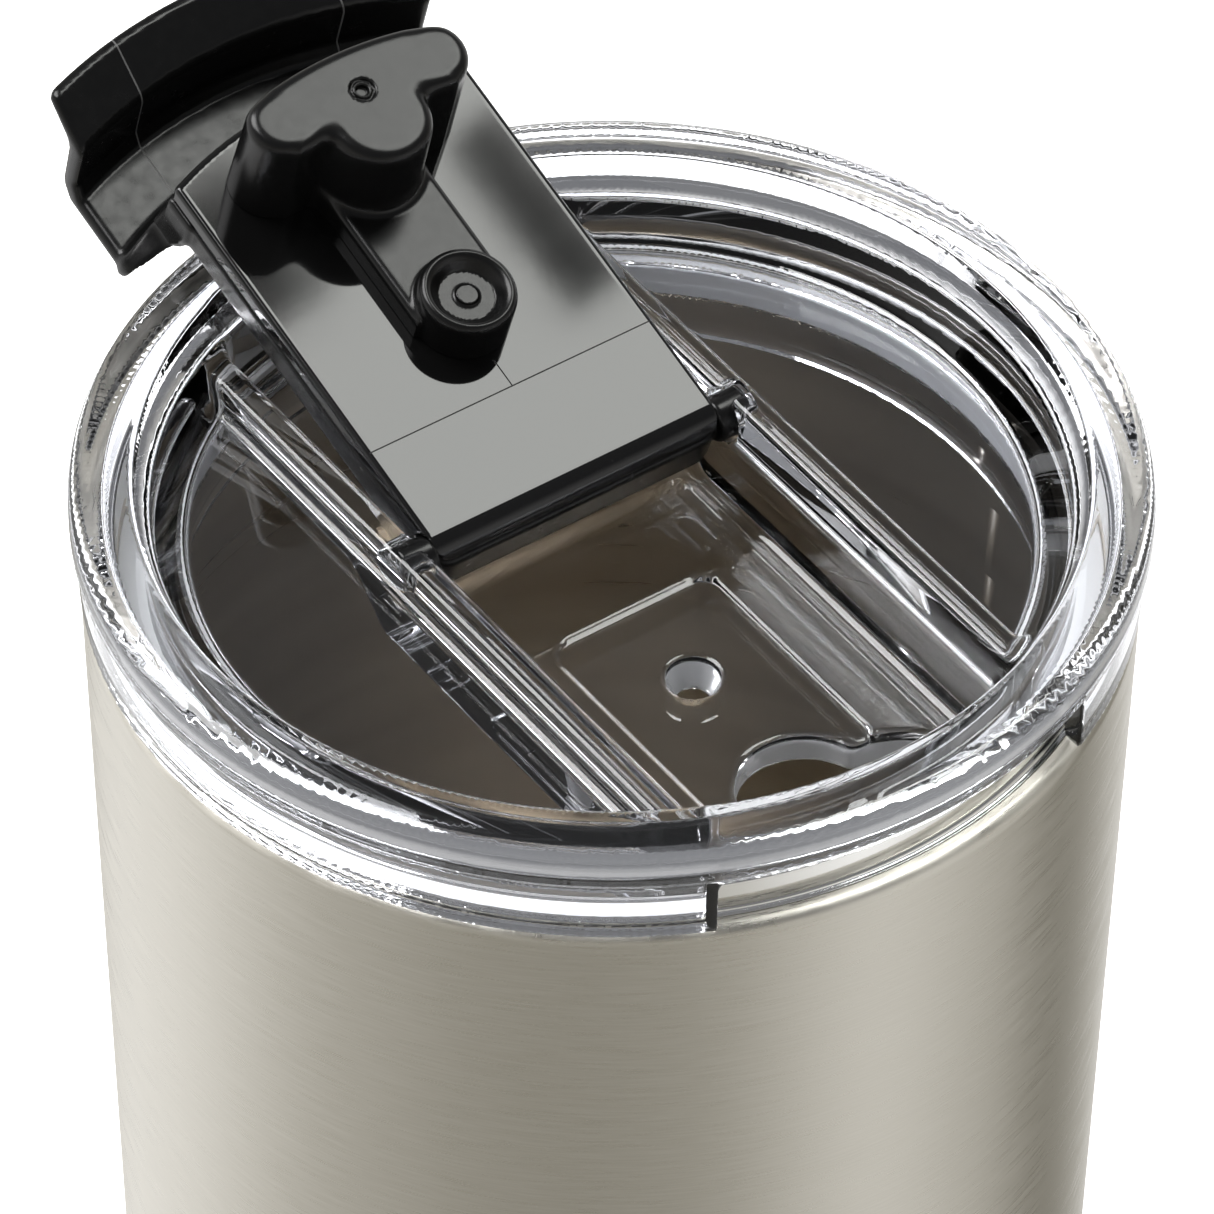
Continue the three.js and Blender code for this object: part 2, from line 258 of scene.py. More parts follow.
# ---- meshes ----
def make_object(name, points, faces, normals, body, slot, replaced, material):
    """A smooth mesh from points in millimetres, quads and exact normals, riding on a body."""
    mesh = bpy.data.meshes.new(name)
    mesh.vertices.add(len(points))
    mesh.vertices.foreach_set("co", (np.asarray(points, np.float32) * MM).ravel())
    mesh.loops.add(faces.size)
    mesh.loops.foreach_set("vertex_index", faces.astype(np.int32).ravel())
    mesh.polygons.add(len(faces))
    mesh.polygons.foreach_set("loop_start", np.arange(0, faces.size, 4, dtype=np.int32))
    mesh.polygons.foreach_set("use_smooth", np.ones(len(faces), bool))
    mesh.update(calc_edges=True)
    mesh.validate()
    mesh.normals_split_custom_set_from_vertices(np.asarray(normals, float).tolist())
    mesh.materials.append(material)
    piece = bpy.data.objects.new(name, mesh)
    bpy.context.scene.collection.objects.link(piece)
    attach(piece, body)
    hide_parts(*replaced)
    return piece


def turned(corners, height=0, segments=288, steps=6):
    """A closed profile of (radius, height, corner radius) swept round the axis."""
    profile, profile_normals = rounded(corners, steps)
    angles = 2 * np.pi * np.arange(segments) / segments
    cos, sin = np.cos(angles)[:, None], np.sin(angles)[:, None]

    def sweep(section):
        r, z = section[:, 0][None, :], section[:, 1][None, :]
        return np.stack([r * cos, r * sin, z + 0 * cos], axis=-1).reshape(-1, 3)

    count = len(profile)
    ring = np.arange(segments)[:, None] * count
    following = np.roll(ring, -1, axis=0)
    here, beyond = np.arange(count)[None, :], (np.arange(count) + 1)[None, :] % count
    faces = np.stack([ring + here, following + here, following + beyond, ring + beyond], axis=-1)
    return sweep(profile) + [0, 0, height], faces.reshape(-1, 4), sweep(profile_normals)


CORNERS = np.array([[i, j, k] for i in (0, 1) for j in (0, 1) for k in (0, 1)])


def gradient(field, points, reach=0.08):
    steps = np.eye(3) * reach
    parts = [field(*(points + s).T) - field(*(points - s).T) for s in steps]
    return np.stack(parts, axis=-1) / (2 * reach)


def skin(field, low, high, step):
    """The zero surface of a distance field, as quads with one point in each crossed cell."""
    axes = [np.arange(a, b + step, step) for a, b in zip(low, high)]
    values = np.empty([len(axis) for axis in axes], np.float32)
    plane_y, plane_z = np.meshgrid(axes[1], axes[2], indexing="ij")
    for i, x in enumerate(axes[0]):
        values[i] = field(np.full_like(plane_y, x), plane_y, plane_z)
    inside = values < 0
    cells = tuple(np.array(values.shape) - 1)
    count = np.zeros(cells, np.int8)
    for c in CORNERS:
        count += inside[tuple(slice(o, o + n) for o, n in zip(c, cells))]
    crossed = np.argwhere((count > 0) & (count < 8))
    number = np.full(cells, -1, np.int32)
    number[tuple(crossed.T)] = np.arange(len(crossed))
    total, hits = np.zeros((len(crossed), 3)), np.zeros(len(crossed))
    for a in CORNERS:
        for axis in np.flatnonzero(a == 0):
            b = a + np.eye(3, dtype=int)[axis]
            va, vb = values[tuple((crossed + a).T)], values[tuple((crossed + b).T)]
            hit = (va < 0) != (vb < 0)
            share = np.where(hit, va / np.where(hit, va - vb, 1), 0)
            total += hit[:, None] * (a + share[:, None] * (b - a))
            hits += hit
    points = (crossed + total / hits[:, None]) * step + np.array(low)
    faces = []
    for axis in range(3):
        u, v = np.eye(3, dtype=int)[(axis + 1) % 3], np.eye(3, dtype=int)[(axis + 2) % 3]
        low_side = [slice(1, -1)] * 3
        low_side[axis] = slice(0, -1)
        high_side = list(low_side)
        high_side[axis] = slice(1, None)
        starts, ends = inside[tuple(low_side)], inside[tuple(high_side)]
        offset = np.ones(3, dtype=int)
        offset[axis] = 0
        edges = np.argwhere(starts != ends)
        leaving = starts[tuple(edges.T)]
        base = edges + offset
        quad = np.stack([number[tuple((base - s).T)] for s in (u + v, v, 0 * u, u)], axis=-1)
        faces.append(np.where(leaving[:, None], quad, quad[:, ::-1]))
    for _ in range(3):
        slope = gradient(field, points)
        square = np.maximum((slope ** 2).sum(-1, keepdims=True), 0.2)
        move = slope * field(*points.T)[:, None] / square
        points -= np.clip(move, -0.5 * step, 0.5 * step)
    slope = gradient(field, points)
    return points, np.concatenate(faces), slope / np.linalg.norm(slope, axis=-1, keepdims=True)


# ---- lid ----
def lid_field():
    ring = Outline([
        (-5, DECK_TOP - DECK_WALL, 0),
        (PLUG_R - PLUG_WALL, DECK_TOP - DECK_WALL, 1),
        (PLUG_R - PLUG_WALL, PLUG_BOTTOM, 0.8),
        (PLUG_R, PLUG_BOTTOM, 0.8),
        (PLUG_R, GROOVE_LOW, 0.2),
        (GROOVE_R, GROOVE_LOW, 0.2),
        (GROOVE_R, GROOVE_HIGH, 0.2),
        (PLUG_R, GROOVE_HIGH, 0.2),
        (PLUG_R, SLOT_TOP, 0.3),
        (NECK_R + 0.3, SLOT_TOP, 0.3),
        (NECK_R + 0.3, SKIRT_BOTTOM, 0.3),
        (BODY_R + 0.1, SKIRT_BOTTOM, 0.4),
        (BODY_R + 0.2, -2.6, 0.4),
        (RIM_R, -1.9, 0.6),
        (RIM_R, RIM_TOP, 1.5),
        (38.3, RIM_TOP, 0.5),
        (37, -1.5, 0.5),
        (34.2, DECK_TOP, 0.8),
        (-5, DECK_TOP, 0),
    ])
    trough = Outline([
        (-FAR, FLOOR_FRONT - FLOOR_WALL, 0),
        (STEP_FRONT + 0.6, FLOOR_FRONT - FLOOR_WALL, 2.4),
        (STEP_REAR - 0.2, REAR_UNDER, 2.4),
        (FAR, REAR_UNDER, 0),
        (FAR, RIB_TOP, 0),
        (-FAR, RIB_TOP, 0),
    ])
    floor = Outline([
        (-FAR, FLOOR_FRONT, 0),
        (STEP_FRONT, FLOOR_FRONT, 2.4),
        (STEP_REAR, FLOOR_REAR, 2.4),
        (FAR, FLOOR_REAR, 0),
        (FAR, 8, 0),
        (-FAR, 8, 0),
    ])
    ends = Outline([
        (-5, -18, 0),
        (34.9, -18, 0),
        (34.9, -10.5, 1.2),
        (36.2, -7, 1.2),
        (36.9, -1.5, 0.4),
        (38, 1.2, 0.2),
        (38.4, 9, 0),
        (-5, 9, 0),
    ])

    def field(x, y, z):
        r, across = np.hypot(x, y), np.abs(x)
        shape = ring(r, z)
        half = RIB_X + RIB_FLARE * smooth_step((z + 8.5) / 3)
        ribs = common(common(across - half, trough(y, z), 0.9), r - RIB_REACH, 0.3)
        shape = join(shape, ribs, 1.1)
        walls = CHANNEL_X + CHANNEL_DRAFT * (z - FLOOR_FRONT)
        channel = common(common(across - walls, floor(y, z), 1.6), ends(r, z), 1.4)
        shape = cut(shape, channel, 0.7)
        beyond = np.hypot(np.maximum(across - PAD_X, 0), np.maximum(np.abs(y - PAD_Y) - PAD_REACH, 0))
        pad = common(beyond - PAD_CORNER, FLOOR_FRONT - PAD_DEPTH - z, 0.3)
        shape = cut(shape, pad, 0.3)
        bores = common(np.hypot(y - HINGE_Y, z - HINGE[2] + RIM_Z) - BORE_R, across - BORE_END, 0.3)
        shape = cut(shape, bores, 0.3)
        notch = common(common(np.maximum(NOTCH_R - r, y), z - NOTCH_TOP, 0.6), across - NOTCH_X, 0.5)
        shape = cut(shape, notch, 0.3)
        cone = disc(x, y, 0, VENT_Y, VENT_R) - VENT_FLARE * (z - FLOOR_FRONT + FLOOR_WALL)
        shape = cut(shape, np.maximum(cone, z - RIB_TOP), 0.5)
        hole = cloud(x, y, HOLE_FRONT_R, HOLE_LOBE_R, HOLE_MIDDLE_R)
        return cut(shape, np.maximum(hole, z - RIB_TOP), 1.0)

    return field


def cloud(x, y, front_r, lobe_r, middle_r):
    """Three-lobed outline of the drinking hole and of its plug, with one even arc at the front."""
    across = np.abs(x)
    band = np.maximum(y - LOBE_Y - 0.85 * lobe_r, across - LOBE_X)
    lobes = disc(across, y, LOBE_X, LOBE_Y, lobe_r)
    shape = join(join(band, disc(x, y, 0, MIDDLE_Y, middle_r), 1.6), lobes, 1.6)
    return common(shape, np.hypot(x, y) - front_r, 0.8)


def build_lid(material):
    reach = RIM_R + 0.6
    low = (-reach, -reach, PLUG_BOTTOM - 0.6)
    high = (reach, reach, RIM_TOP + 0.6)
    points, faces, normals = skin(lid_field(), low, high, 0.42)
    points = points + [0, 0, RIM_Z]
    lid = make_object("clear_lid", points, faces, normals, "lid", "clear_plastic", ["lid_body"], material)
    lid.visible_shadow = False


def build_gasket(material):
    inner = GROOVE_R + 0.1
    profile = [
        (inner, GROOVE_LOW + 0.1, 0.2),
        (GASKET_BODY_R, GROOVE_LOW + 0.1, 0.3),
        (GASKET_R, GROOVE_LOW + 0.9, 0.25),
        (GASKET_R, GROOVE_LOW + 1.4, 0.25),
        (GASKET_BODY_R + 0.1, GROOVE_LOW + 1.5, 0.2),
        (GASKET_R, GROOVE_HIGH - 1, 0.25),
        (GASKET_R, GROOVE_HIGH - 0.5, 0.25),
        (GASKET_BODY_R, GROOVE_HIGH - 0.1, 0.3),
        (inner, GROOVE_HIGH - 0.1, 0.2),
    ]
    points, faces, normals = turned(profile, RIM_Z)
    make_object("gasket_ring", points, faces, normals, "lid", "silicone", ["lid_gasket"], material)


# ---- steel body ----
def body_radius(z):
    below = max(0, BEND_Z - z)
    return BODY_R - TAPER * (STEEL_TOP - z) - BEND_RATE * below * below


def wall_line(heights, inset):
    return [(body_radius(z) - inset, z, 0) for z in heights]


def build_shell(material):
    heights = list(np.linspace(8, STEEL_TOP - 1.6, 36))
    base = body_radius(0)
    profile = [
        (33.2, FOOT_Z, 0.3),
        (base - 1.6, FOOT_Z, 1.2),
        *wall_line(heights, 0),
        (BODY_R, STEEL_TOP, 1.1),
        (BODY_R - SHELL_LIP, STEEL_TOP, 0.1),
        (BODY_R - SHELL_LIP, STEEL_TOP - 0.8, 0.1),
        *reversed(wall_line(heights, SHELL_WALL)),
    ]
    points, faces, normals = turned(profile, steps=5)
    make_object("steel_wall", points, faces, normals, "tumbler", "brushed_steel", ["outer_shell"], material)


def build_liner(material):
    heights = list(np.linspace(24, STEEL_TOP - 2, 20))
    under = CUP_FLOOR - CUP_WALL
    flange = BODY_R - SHELL_LIP - 0.05
    corner = body_radius(20) - 4.1
    profile = [
        (-0.001, under, 0),
        (corner + CUP_WALL, under, 6),
        *wall_line(heights, LINER_INSET - CUP_WALL),
        (flange, STEEL_TOP - 1.4, 0.3),
        (flange, STEEL_TOP, 0.05),
        (NECK_R, STEEL_TOP, 0.25),
        (NECK_R, STEEL_TOP + NECK_RISE, 0.3),
        (LIP_R, STEEL_TOP + NECK_RISE, 0.3),
        *reversed(wall_line(heights, LINER_INSET)),
        (corner, CUP_FLOOR, 5.5),
        (-0.001, CUP_FLOOR, 0),
    ]
    points, faces, normals = turned(profile, steps=5)
    make_object("cup_wall", points, faces, normals, "tumbler", "cup_steel", ["inner_liner"], material)


# ---- flip cover ----
def opened(points, faces, normals):
    """From the closed drawing about the hinge axis to the resting place."""
    turn = np.array(Matrix.Rotation(-OPEN, 3, "X"))
    return points @ turn.T + HINGE, faces, normals @ turn.T


def plan():
    """The cover from above: square-cut at the hinge, with rounded corners, and an arc in front."""
    sides = Outline([
        (-COVER_X, -60, 0),
        (COVER_X, -60, 0),
        (COVER_X, COVER_TAIL, COVER_CORNER),
        (-COVER_X, COVER_TAIL, COVER_CORNER),
    ])
    return lambda x, y: np.maximum(sides(x, y), np.hypot(x, y + HINGE_Y) - COVER_R)


def cover_field():
    rise = HINGE[2] - RIM_Z
    outline = plan()
    section = Outline([
        (-COVER_X, PARTING + 0.1, 0.15),
        (COVER_X, PARTING + 0.1, 0.15),
        (COVER_X, COVER_EDGE, 1),
        (COVER_X - 2, COVER_TOP, 2),
        (2 - COVER_X, COVER_TOP, 2),
        (-COVER_X, COVER_EDGE, 1),
    ])
    web = Outline([
        (33, rise, 0),
        (COVER_R, rise, 0),
        (36.7, -1, 0.8),
        (37.3, 2.3, 0),
        (37.3, 3.8, 0),
        (33, -1.7, 1.5),
    ])
    hook = Outline([
        (36.4, 2.6, 0.2),
        (37.2, 2.3, 0.2),
        (43, 2.3, 0.6),
        (43.9, 1.3, 0.6),
        (44, -3.4, 1.2),
        (48.4, -5.2, 0.5),
        (49.3, -5.1, 0.5),
        (49.3, -4.2, 0.5),
        (46, -2.4, 1.5),
        (45.7, 2.6, 1.5),
        (44.4, 3.9, 1.2),
        (36.4, 3.9, 0.6),
    ])

    def field(x, y, z):
        across = np.abs(x)
        r, height = np.hypot(x, y + HINGE_Y), z + rise
        plate = common(section(x, z), outline(x, y), 0.6)
        narrow = across - COVER_X - (TAB_X - COVER_X) * smooth_step((height + 0.6) / 3)
        ahead = y + HINGE_Y + 20
        tab = common(hook(r, height), np.maximum(across - TAB_X, ahead), 0.9)
        root = common(web(r, height), np.maximum(narrow, ahead), 0.5)
        shape = join(plate, join(root, tab, 0.8), 0.8)
        ends = np.maximum(across - TRUNNION_END, COVER_X - 0.5 - across)
        trunnions = common(np.hypot(y, z) - TRUNNION_R, ends, 0.4)
        return np.minimum(shape, trunnions)

    return field


def panel_field():
    outline = plan()
    section = Outline([
        (-COVER_X, COVER_UNDER, 0.5),
        (COVER_X, COVER_UNDER, 0.5),
        (COVER_X, PARTING, 0.12),
        (-COVER_X, PARTING, 0.12),
    ])

    def field(x, y, z):
        heel = np.hypot(np.maximum(y + 0.8, 0), np.minimum(z - 0.4, 0)) - HEEL_R
        plate = np.maximum(common(section(x, z), outline(x, y), 0.7), heel)
        return cut(plate, np.maximum(np.hypot(y, z) - TRUNNION_R - 0.1, COVER_X - 0.4 - np.abs(x)), 0.1)

    return field


def stopper_field():
    vent_y = VENT_Y - HINGE_Y
    gate_y = GATE_Y - HINGE_Y

    def field(x, y, z):
        depth = COVER_UNDER - z
        tip = depth - PLUG_DEPTH
        outline = cloud(
            x, y + HINGE_Y - PLUG_BACK, PLUG_FRONT_R - FRONT_DRAFT * depth, PLUG_LOBE_R - SIDE_DRAFT * depth,
            PLUG_MIDDLE_R - FRONT_DRAFT * depth)
        plug = common(outline, tip, 1.1)
        strip_side = np.maximum(np.abs(x) - STRIP_X, np.abs(y - vent_y + STRIP_REACH) - STRIP_REACH)
        strip = common(strip_side, depth - STRIP_DEPTH, 0.8)
        dish = np.hypot(x, y - vent_y)
        button = common(dish - BUTTON_R, depth - BUTTON_DEPTH, 0.9)
        bowl = dish - DISH_R + DISH_SLOPE * (BUTTON_DEPTH - depth)
        button = cut(button, np.maximum(bowl, DISH_DEPTH - depth), 0.5)
        button = join(button, np.maximum(dish - STUD_R, depth - STUD_DEPTH), 0.4)
        shape = join(join(plug, strip, 0.9), button, 0.5)
        gate = np.hypot(x, y - gate_y)
        shape = cut(shape, np.maximum(np.abs(gate - GATE_R) - 0.13, -0.2 - tip), 0.15)
        shape = cut(shape, np.maximum(gate - GATE_DOT_R, -0.5 - tip), 0.3)
        return np.maximum(shape, z - COVER_UNDER)

    return field


def build_flip(cover_look, panel_look, stopper_look):
    cover = skin(cover_field(), (-18.2, -56, -3), (18.2, 3, 10), 0.3)
    panel = skin(panel_field(), (-14.8, -42, -2.6), (14.8, 2.4, 0.4), 0.25)
    stopper = skin(stopper_field(), (-11.2, -42, -12.2), (11.2, -12, -1.4), 0.2)
    pieces = [
        ("cover_top", cover, "cover_black", "flip_cover", cover_look),
        ("cover_underside", panel, "panel_black", "cover_panel", panel_look),
        ("soft_stopper", stopper, "stopper_black", "stopper", stopper_look),
    ]
    for name, drawing, slot, node, look in pieces:
        points, faces, normals = opened(*drawing)
        make_object(name, points, faces, normals, "flip", slot, [node], look)


# ---- materials ----
def new_material(name, **sockets):
    material = bpy.data.materials.new(name)
    material.use_nodes = True
    nodes, links = material.node_tree.nodes, material.node_tree.links
    shader = nodes["Principled BSDF"]
    for label, value in sockets.items():
        shader.inputs[label.replace("_", " ")].default_value = value
    return material, nodes, links, shader


def speckle(nodes, links, scale, detail=4):
    """Even noise through the material, as many grains to the metre as the scale says."""
    place = nodes.new("ShaderNodeTexCoord")
    noise = nodes.new("ShaderNodeTexNoise")
    noise.inputs["Scale"].default_value = scale
    noise.inputs["Detail"].default_value = detail
    links.new(place.outputs["Object"], noise.inputs["Vector"])
    return noise.outputs["Fac"]


def vector_math(nodes, operation):
    node = nodes.new("ShaderNodeVectorMath")
    node.operation = operation
    return node


def lathe_lines(nodes, links, across, around, detail=4):
    """Fine lines that run round the axis: across is lines to the metre, around is changes to a radian."""
    place = nodes.new("ShaderNodeTexCoord")
    level = vector_math(nodes, "MULTIPLY")
    level.inputs[1].default_value = (1, 1, 0)
    unit = vector_math(nodes, "NORMALIZE")
    radius = vector_math(nodes, "LENGTH")
    split = nodes.new("ShaderNodeSeparateXYZ")
    travel = nodes.new("ShaderNodeMath")
    travel.operation = "ADD"
    lift = nodes.new("ShaderNodeCombineXYZ")
    spread = vector_math(nodes, "MULTIPLY_ADD")
    spread.inputs[1].default_value = (around / across, around / across, 0)
    noise = nodes.new("ShaderNodeTexNoise")
    noise.inputs["Scale"].default_value = across
    noise.inputs["Detail"].default_value = detail
    links.new(place.outputs["Object"], level.inputs[0])
    links.new(place.outputs["Object"], split.inputs[0])
    links.new(level.outputs["Vector"], unit.inputs[0])
    links.new(level.outputs["Vector"], radius.inputs[0])
    links.new(radius.outputs["Value"], travel.inputs[0])
    links.new(split.outputs["Z"], travel.inputs[1])
    links.new(travel.outputs[0], lift.inputs["Z"])
    links.new(unit.outputs["Vector"], spread.inputs[0])
    links.new(lift.outputs["Vector"], spread.inputs[2])
    links.new(spread.outputs["Vector"], noise.inputs["Vector"])
    return noise.outputs["Fac"]


def ranged(nodes, links, source, low, high, from_low=0.3, from_high=0.7):
    node = nodes.new("ShaderNodeMapRange")
    node.inputs["From Min"].default_value = from_low
    node.inputs["From Max"].default_value = from_high
    node.inputs["To Min"].default_value = low
    node.inputs["To Max"].default_value = high
    links.new(source, node.inputs["Value"])
    return node.outputs["Result"]


def add_bump(nodes, links, shader, source, strength, distance):
    bump = nodes.new("ShaderNodeBump")
    bump.inputs["Strength"].default_value = strength
    bump.inputs["Distance"].default_value = distance
    links.new(source, bump.inputs["Height"])
    links.new(bump.outputs["Normal"], shader.inputs["Normal"])


def around_axis(nodes, links, shader):
    tangent = nodes.new("ShaderNodeTangent")
    tangent.direction_type = "RADIAL"
    tangent.axis = "Z"
    links.new(tangent.outputs["Tangent"], shader.inputs["Tangent"])


def mixed(nodes, links, factor, first, second):
    """Numbers blended by a factor."""
    node = nodes.new("ShaderNodeMix")
    links.new(factor, node.inputs["Factor"])
    for socket, value in ((node.inputs["A"], first), (node.inputs["B"], second)):
        if isinstance(value, float):
            socket.default_value = value
        else:
            links.new(value, socket)
    return node.outputs["Result"]


def ramped(nodes, links, source, low, high):
    """A colour between two, as the source goes from 0.3 to 0.7."""
    ramp = nodes.new("ShaderNodeValToRGB")
    for stop, position, colour in zip(ramp.color_ramp.elements, (0.3, 0.7), (low, high)):
        stop.position = position
        stop.color = (*colour, 1)
    links.new(source, ramp.inputs["Fac"])
    return ramp.outputs["Color"]


def above(nodes, links, height):
    """0 below a height and 1 above it."""
    place = nodes.new("ShaderNodeTexCoord")
    split = nodes.new("ShaderNodeSeparateXYZ")
    links.new(place.outputs["Object"], split.inputs[0])
    return ranged(nodes, links, split.outputs["Z"], 0, 1, height, height + 0.0001)


def inside_boxes(nodes, links, boxes, blur):
    """1 inside any of the boxes, given in millimetres as a centre and half sizes, and 0 outside."""
    place = nodes.new("ShaderNodeTexCoord")
    total = None
    for centre, half in boxes:
        offset = vector_math(nodes, "SUBTRACT")
        size = vector_math(nodes, "ABSOLUTE")
        spare = vector_math(nodes, "SUBTRACT")
        offset.inputs[1].default_value = [v * MM for v in centre]
        spare.inputs[0].default_value = [v * MM for v in half]
        split = nodes.new("ShaderNodeSeparateXYZ")
        links.new(place.outputs["Object"], offset.inputs[0])
        links.new(offset.outputs["Vector"], size.inputs[0])
        links.new(size.outputs["Vector"], spare.inputs[1])
        links.new(spare.outputs["Vector"], split.inputs[0])
        room = combined(nodes, links, "MINIMUM", split.outputs["X"], split.outputs["Y"])
        room = combined(nodes, links, "MINIMUM", room, split.outputs["Z"])
        total = room if total is None else combined(nodes, links, "MAXIMUM", total, room)
    return ranged(nodes, links, total, 0, 1, 0, blur * MM)


def combined(nodes, links, operation, first, second):
    node = nodes.new("ShaderNodeMath")
    node.operation = operation
    links.new(first, node.inputs[0])
    links.new(second, node.inputs[1])
    return node.outputs[0]


def brushed_steel():
    material, nodes, links, shader = new_material(
        "brushed_steel", Metallic=1, Anisotropic=0.75, Anisotropic_Rotation=0.25)
    around_axis(nodes, links, shader)
    fine = lathe_lines(nodes, links, 5000, 9)
    broad = lathe_lines(nodes, links, 260, 4, 3)
    smoother = ranged(nodes, links, fine, 0.22, 0.38)
    rougher = ranged(nodes, links, fine, 0.28, 0.42)
    links.new(mixed(nodes, links, broad, smoother, rougher), shader.inputs["Roughness"])
    tone = ramped(nodes, links, fine, (0.57, 0.545, 0.485), (0.65, 0.625, 0.565))
    links.new(tone, shader.inputs["Base Color"])
    add_bump(nodes, links, shader, fine, 0.2, 0.00003)
    return material


def cup_steel():
    """Turned inside, with fine rings, and polished at the neck."""
    material, nodes, links, shader = new_material(
        "cup_steel", Metallic=1, Anisotropic=0.5, Anisotropic_Rotation=0.25)
    around_axis(nodes, links, shader)
    rings = lathe_lines(nodes, links, 1500, 2, 3)
    bands = lathe_lines(nodes, links, 130, 0.5, 2)
    neck = above(nodes, links, (STEEL_TOP - 1) * MM)
    smoother = ranged(nodes, links, rings, 0.25, 0.28)
    rougher = ranged(nodes, links, rings, 0.3, 0.34)
    turned_finish = mixed(nodes, links, bands, smoother, rougher)
    links.new(mixed(nodes, links, neck, turned_finish, 0.05), shader.inputs["Roughness"])
    tone = nodes.new("ShaderNodeMix")
    tone.data_type = "RGBA"
    tone.inputs["B"].default_value = (0.92, 0.915, 0.9, 1)
    links.new(neck, tone.inputs["Factor"])
    links.new(ramped(nodes, links, bands, (0.6, 0.545, 0.47), (0.76, 0.71, 0.63)), tone.inputs["A"])
    links.new(tone.outputs["Result"], shader.inputs["Base Color"])
    return material


def clear_plastic():
    """Polished, with the bores finely frosted and two mould lines between them."""
    material, nodes, links, shader = new_material(
        "clear_plastic", Base_Color=(0.95, 0.96, 0.995, 1), IOR=1.53)
    middle = RIM_Z + FLOOR_FRONT - 1.85
    frosted = inside_boxes(
        nodes, links, [((0, VENT_Y, middle), (3, 3, 1.2)), ((0, MIDDLE_Y, middle), (12.5, 7, 1.2))], 0.1)
    lines = inside_boxes(
        nodes, links, [((x, -17, RIM_Z + FLOOR_FRONT), (0.06, 3.5, 0.3)) for x in (-0.3, 0.6)], 0.02)
    marked = mixed(nodes, links, frosted, mixed(nodes, links, lines, 0.012, 0.5), 0.22)
    links.new(marked, shader.inputs["Roughness"])
    links.new(mixed(nodes, links, frosted, 1.0, 0.7), shader.inputs["Transmission Weight"])
    add_bump(nodes, links, shader, speckle(nodes, links, 60, 1), 0.03, 0.0002)
    return material


def silicone():
    material, nodes, links, shader = new_material(
        "silicone", Base_Color=(0.86, 0.87, 0.88, 1), Transmission_Weight=0.55, IOR=1.41)
    links.new(ranged(nodes, links, speckle(nodes, links, 400, 3), 0.35, 0.5), shader.inputs["Roughness"])
    return material


PLASTIC_BLACK = 0.004


def on_panel(x, reach):
    """A place on the panel's face with the cover at rest, from its reach out from the hinge."""
    return (x, HINGE_Y - reach * math.cos(OPEN) + COVER_UNDER * math.sin(OPEN),
            HINGE[2] + reach * math.sin(OPEN) + COVER_UNDER * math.cos(OPEN))


def black_plastic(name, finish, grain, bump, specular, lines=(), line_tone=PLASTIC_BLACK, line_finish=0.7):
    """Moulded black plastic, with thin mould lines where the boxes are."""
    material, nodes, links, shader = new_material(name, IOR=1.47, Specular_IOR_Level=specular)
    noise = speckle(nodes, links, grain, 5)
    roughness = ranged(nodes, links, noise, *finish)
    if lines:
        mask = inside_boxes(nodes, links, lines, 0.03)
        roughness = mixed(nodes, links, mask, roughness, line_finish)
        tone = nodes.new("ShaderNodeMix")
        tone.data_type = "RGBA"
        tone.inputs["A"].default_value = (PLASTIC_BLACK, PLASTIC_BLACK, PLASTIC_BLACK, 1)
        tone.inputs["B"].default_value = (line_tone, line_tone, line_tone, 1)
        links.new(mask, tone.inputs["Factor"])
        links.new(tone.outputs["Result"], shader.inputs["Base Color"])
    else:
        shader.inputs["Base Color"].default_value = (PLASTIC_BLACK, PLASTIC_BLACK, PLASTIC_BLACK, 1)
    links.new(roughness, shader.inputs["Roughness"])
    add_bump(nodes, links, shader, noise, *bump)
    return material


def satin_base():
    material, nodes, links, shader = new_material("satin_base", Base_Color=(0.5, 0.49, 0.47, 1), Metallic=1)
    rings = lathe_lines(nodes, links, 1800, 5)
    links.new(ranged(nodes, links, rings, 0.28, 0.42), shader.inputs["Roughness"])
    add_bump(nodes, links, shader, rings, 0.1, 0.00003)
    return material


# ---- studio ----
def flat_card(name, half_x, half_y, material):
    mesh = bpy.data.meshes.new(name)
    corners = [(-half_x, -half_y, 0), (half_x, -half_y, 0), (half_x, half_y, 0), (-half_x, half_y, 0)]
    mesh.from_pydata(corners, [], [(0, 1, 2, 3)])
    mesh.materials.append(material)
    return bpy.data.objects.new(name, mesh)


def build_floor():
    """A floor that glows a little, so that it is white round the object."""
    material = new_material(
        "lit_floor", Base_Color=(0.9, 0.9, 0.9, 1), Roughness=0.9,
        Emission_Color=(1, 1, 1, 1), Emission_Strength=0.8)[0]
    floor = flat_card("floor", 6, 6, material)
    bpy.context.scene.collection.objects.link(floor)


def face_object(item, azimuth, elevation, distance, right=0, up=0):
    """Stand an item round the object, facing it; azimuth 0 is the -Y side and turns towards +X."""
    a, e = math.radians(azimuth), math.radians(elevation)
    away = Vector((math.sin(a) * math.cos(e), -math.cos(a) * math.cos(e), math.sin(e)))
    turn = away.to_track_quat("Z", "Y")
    item.rotation_mode = "QUATERNION"
    item.rotation_quaternion = turn
    item.location = Vector((0, 0, 0.12)) + away * distance + turn @ Vector((right, up, 0))
    bpy.context.scene.collection.objects.link(item)


def soft_light(name, azimuth, elevation, distance, size, power, colour=(1, 1, 1)):
    light = bpy.data.lights.new(name, "AREA")
    light.shape, light.size, light.energy, light.color = "SQUARE", size, power, colour
    lamp = bpy.data.objects.new(name, light)
    lamp.visible_camera = False
    face_object(lamp, azimuth, elevation, distance)


